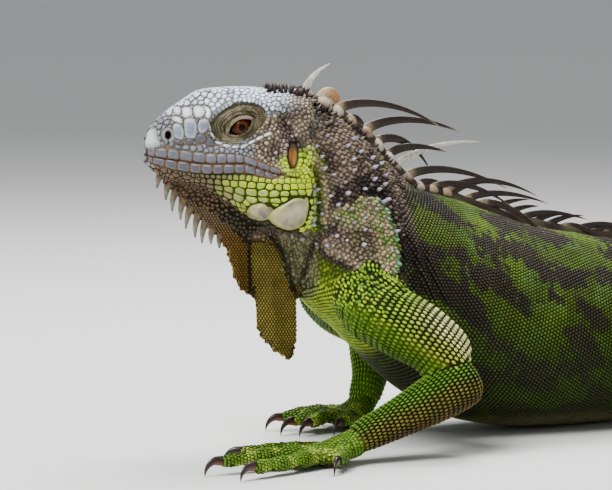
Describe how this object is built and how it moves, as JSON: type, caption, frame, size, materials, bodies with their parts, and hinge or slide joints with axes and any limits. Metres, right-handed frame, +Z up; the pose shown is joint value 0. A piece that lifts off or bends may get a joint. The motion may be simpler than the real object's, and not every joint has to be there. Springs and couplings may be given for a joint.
{
  "type": "green iguana",
  "caption": "Life-size still model of a green iguana, chest raised on bent arms, with jowl shields, fringed dewlap, spiny crest and a long tail laid on the floor.",
  "frame": {"origin": "centre of the model's box at floor level", "axes": "+Z up, -X along the trunk toward the head, -Y toward the animal's left side; the head is turned 24 degrees toward its right"},
  "size_m": [1.1318, 0.3414, 0.1969],
  "materials": {
    "head_skin": "pale slate-blue and olive scales with a satin sheen",
    "neck_skin": "dark brown fine scales with pale lavender studs",
    "trunk_skin": "green fine scales in upright rows with dark brown blotches",
    "tail_skin": "olive and brown banded keeled scales",
    "dewlap_skin": "olive-brown fine scales",
    "limb_skin": "yellow-green beaded scales on dark skin",
    "crest": "dark brown horn with pale roots and tips",
    "claw": "dark horn",
    "eye": "wet red-brown iris with a dark pupil",
    "eardrum": "thin ochre skin",
    "jowl_plate": "smooth pearly shield"
  },
  "bodies": {
    "root": {"eye_left": "eye", "eardrum_left": "eardrum", "jowl_plate_left": "jowl_plate", "jowl_plate_front_left": "jowl_plate", "eye_right": "eye", "eardrum_right": "eardrum", "jowl_plate_right": "jowl_plate", "jowl_plate_front_right": "jowl_plate", "head": "head_skin", "lower_jaw": "head_skin", "neck": "neck_skin", "trunk_front": "trunk_skin", "trunk_rear": "trunk_skin", "tail_1": "tail_skin", "tail_2": "tail_skin", "tail_3": "tail_skin", "tail_4": "tail_skin", "tail_5": "tail_skin", "dewlap": "dewlap_skin", "crest_neck": "crest", "crest_back": "crest", "crest_tail": "crest", "forearm_left": "limb_skin", "upper_arm_left": "limb_skin", "hand_left": "limb_skin", "claw_hand_left_1": "claw", "claw_hand_left_2": "claw", "claw_hand_left_3": "claw", "claw_hand_left_4": "claw", "claw_hand_left_5": "claw", "forearm_right": "limb_skin", "upper_arm_right": "limb_skin", "hand_right": "limb_skin", "claw_hand_right_1": "claw", "claw_hand_right_2": "claw", "claw_hand_right_3": "claw", "claw_hand_right_4": "claw", "claw_hand_right_5": "claw", "shin_left": "limb_skin", "thigh_left": "limb_skin", "foot_left": "limb_skin", "claw_foot_left_1": "claw", "claw_foot_left_2": "claw", "claw_foot_left_3": "claw", "claw_foot_left_4": "claw", "claw_foot_left_5": "claw", "shin_right": "limb_skin", "thigh_right": "limb_skin", "foot_right": "limb_skin", "claw_foot_right_1": "claw", "claw_foot_right_2": "claw", "claw_foot_right_3": "claw", "claw_foot_right_4": "claw", "claw_foot_right_5": "claw"}
  },
  "joints": []
}
